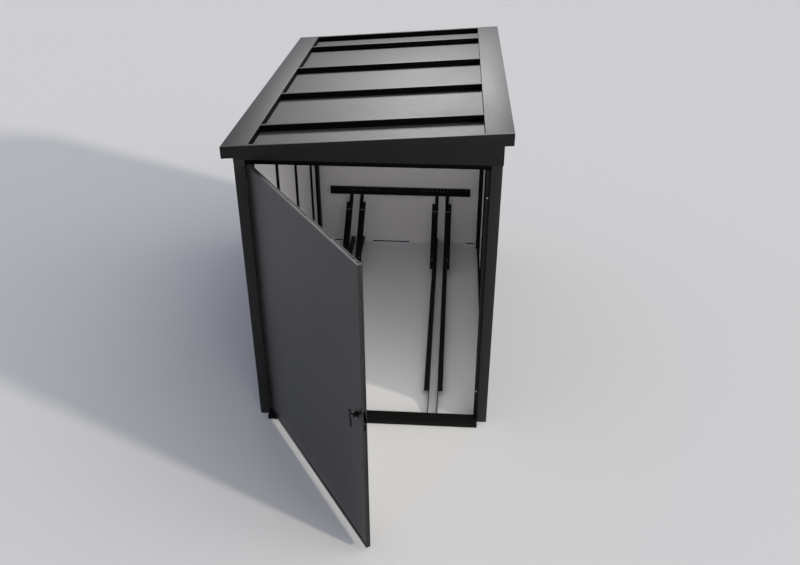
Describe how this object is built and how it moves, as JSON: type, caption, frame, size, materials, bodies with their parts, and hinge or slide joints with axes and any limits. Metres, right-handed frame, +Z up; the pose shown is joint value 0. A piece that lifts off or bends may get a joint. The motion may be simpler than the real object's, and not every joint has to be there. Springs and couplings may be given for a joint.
{
  "type": "bike shelter",
  "caption": "Narrow sheet-metal bike shelter with a recessed tray roof, an outward-opening full-width door and a floor rack with wheel slots inside.",
  "frame": {"origin": "middle of the door sill's underside, in the plane of the front posts' faces, at ground level", "axes": "+X to the right seen from the door, +Y from the door to the back wall, +Z up"},
  "size_m": [1.298, 2.9749, 1.5865],
  "materials": {
    "roof_metal": "satin powder coat, anthracite",
    "wall_sheet": "pale grey coil-coated inside, anthracite outside",
    "frame_metal": "satin powder coat, anthracite",
    "black_metal": "matt black powder coat",
    "rack_metal": "matt black powder coat",
    "hinge_metal": "black",
    "handle_black": "satin black",
    "door_metal": "satin powder coat, anthracite"
  },
  "bodies": {
    "shelter": {"back_wall": "wall_sheet", "bay_rails_left": "rack_metal", "bay_rails_right": "rack_metal", "bay_struts_left": "rack_metal", "bay_struts_right": "rack_metal", "door_head_beam": "frame_metal", "door_sill": "frame_metal", "door_stop_left": "black_metal", "door_stop_right": "black_metal", "door_stop_top": "black_metal", "front_fascia": "roof_metal", "front_post_left": "frame_metal", "front_post_right": "frame_metal", "hinge_lower_post_half": "hinge_metal", "hinge_upper_post_half": "hinge_metal", "rack_crossbar": "rack_metal", "rear_fascia": "roof_metal", "rear_post_left": "frame_metal", "rear_post_right": "frame_metal", "rear_top_beam": "frame_metal", "roof_flashing_left": "roof_metal", "roof_flashing_right": "roof_metal", "roof_rib_1": "roof_metal", "roof_rib_2": "roof_metal", "roof_rib_3": "roof_metal", "roof_rib_4": "roof_metal", "roof_sheets": "roof_metal", "side_wall_left": "wall_sheet", "side_wall_right": "wall_sheet", "top_rail_left": "frame_metal", "top_rail_right": "frame_metal", "wall_studs_left": "black_metal", "wall_studs_right": "black_metal"},
    "door": {"door_handle_rose": "handle_black", "door_lock_case": "handle_black", "door_rail_bottom": "door_metal", "door_rail_middle": "door_metal", "door_rail_top": "door_metal", "door_skin": "door_metal", "door_stile_hinge": "door_metal", "door_stile_lock": "door_metal", "hinge_lower_door_half": "hinge_metal", "hinge_upper_door_half": "hinge_metal"},
    "handle": {"door_handle": "handle_black"}
  },
  "joints": [
    {"name": "door_swing", "type": "hinge", "parent": "shelter", "child": "door", "pos_m": [-0.545, 0, 0.7], "axis": [0, 0, -1], "range_deg": [-56.2, 53.8]},
    {"name": "handle_turn", "type": "hinge", "parent": "door", "child": "handle", "pos_m": [0.03689, -0.86921, 0.735], "axis": [-0.831, -0.5563, 0], "range_deg": [0, 90]}
  ]
}
